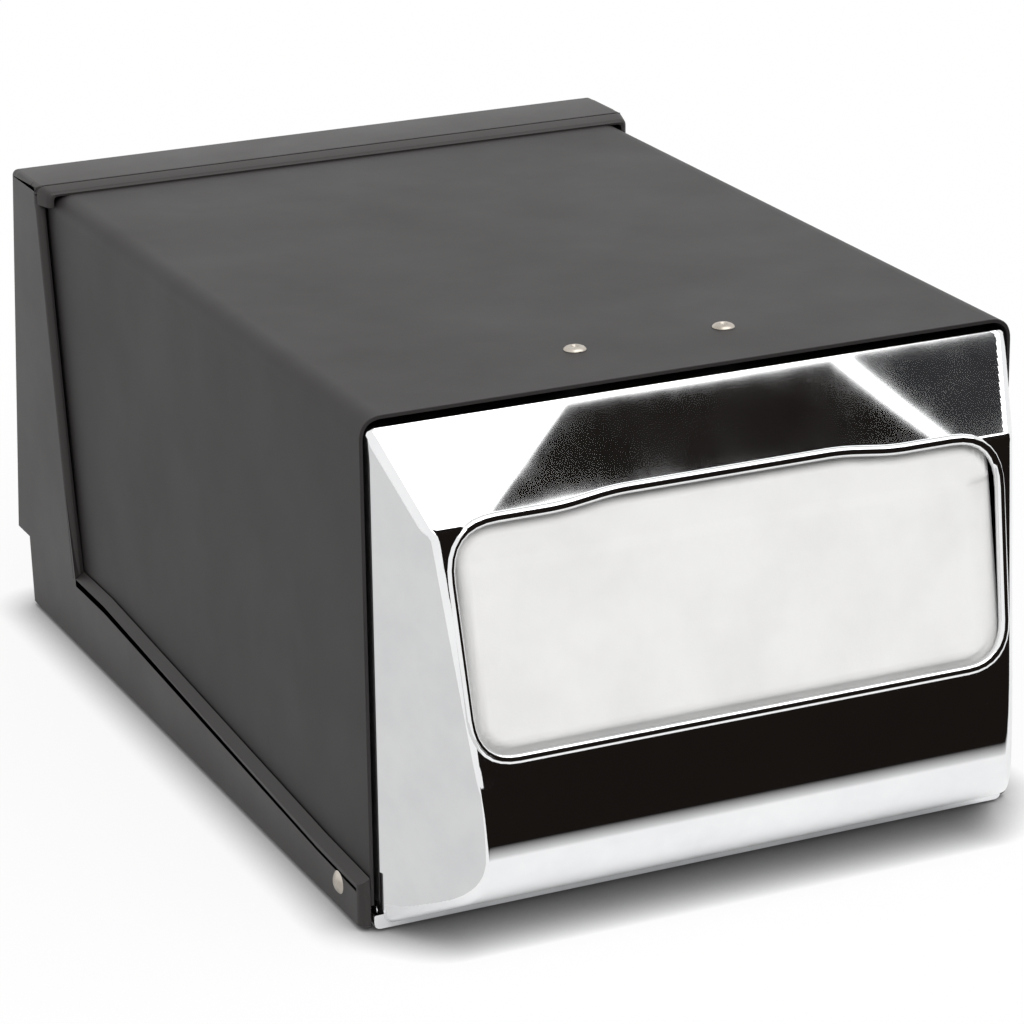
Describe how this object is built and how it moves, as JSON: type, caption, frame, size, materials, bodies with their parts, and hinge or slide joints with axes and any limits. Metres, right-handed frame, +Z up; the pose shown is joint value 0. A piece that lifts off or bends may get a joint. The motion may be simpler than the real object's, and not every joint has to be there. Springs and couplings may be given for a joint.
{
  "type": "countertop napkin dispenser",
  "caption": "Countertop napkin dispenser: black hinged cover with a chromed face, rounded opening in front, moulded base and rear cap, sprung follower behind the napkins.",
  "frame": {"origin": "on the table, under the middle of the whole dispenser", "axes": "+Z up, +Y towards the rear cap, so the napkins come out towards -Y, +X to the right seen from the front"},
  "size_m": [0.1994, 0.3121, 0.143],
  "materials": {
    "cover_paint": "fine-textured black powder coat",
    "chrome_plate": "bright plated",
    "black_moulding": "fine-grained satin moulding",
    "rivet_steel": "dull plated",
    "zinc_steel": "zinc-plated sheet",
    "screw_steel": "zinc-plated",
    "spring_steel": "bright drawn wire and strip",
    "nylon": "natural white",
    "rubber": "matte",
    "napkin_paper": "soft embossed tissue"
  },
  "bodies": {
    "base": {"base_tray": "black_moulding", "floor_pan": "zinc_steel", "pan_rivets": "rivet_steel", "rear_cap": "black_moulding", "cap_screws": "screw_steel", "rubber_feet": "rubber", "latch_clip": "spring_steel", "latch_screw": "screw_steel", "spring_anchor": "zinc_steel", "anchor_screws": "screw_steel", "napkin_stack": "napkin_paper", "front_napkin": "napkin_paper", "pivot_rivet_left": "rivet_steel", "pivot_rivet_right": "rivet_steel", "pusher_spring": "spring_steel"},
    "hood": {"cover": "cover_paint", "face_plate": "chrome_plate", "face_rivet_left": "rivet_steel", "face_rivet_right": "rivet_steel", "pivot_bush_left": "nylon", "pivot_bush_right": "nylon", "catch_blade": "zinc_steel"},
    "follower": {"pusher_plate": "zinc_steel", "pusher_shoe": "nylon", "shoe_screws": "screw_steel"}
  },
  "joints": [
    {"name": "cover_hinge", "type": "hinge", "parent": "base", "child": "hood", "pos_m": [0, -0.10823, 0.0087], "axis": [1, 0, 0], "range_deg": [0, 100]},
    {"name": "follower_slide", "type": "slide", "parent": "base", "child": "follower", "axis": [0, 1, 0], "range_m": [0, 0.06], "stiffness_N_per_m": 60, "springref_m": -0.05, "deforming": ["pusher_spring"]}
  ]
}
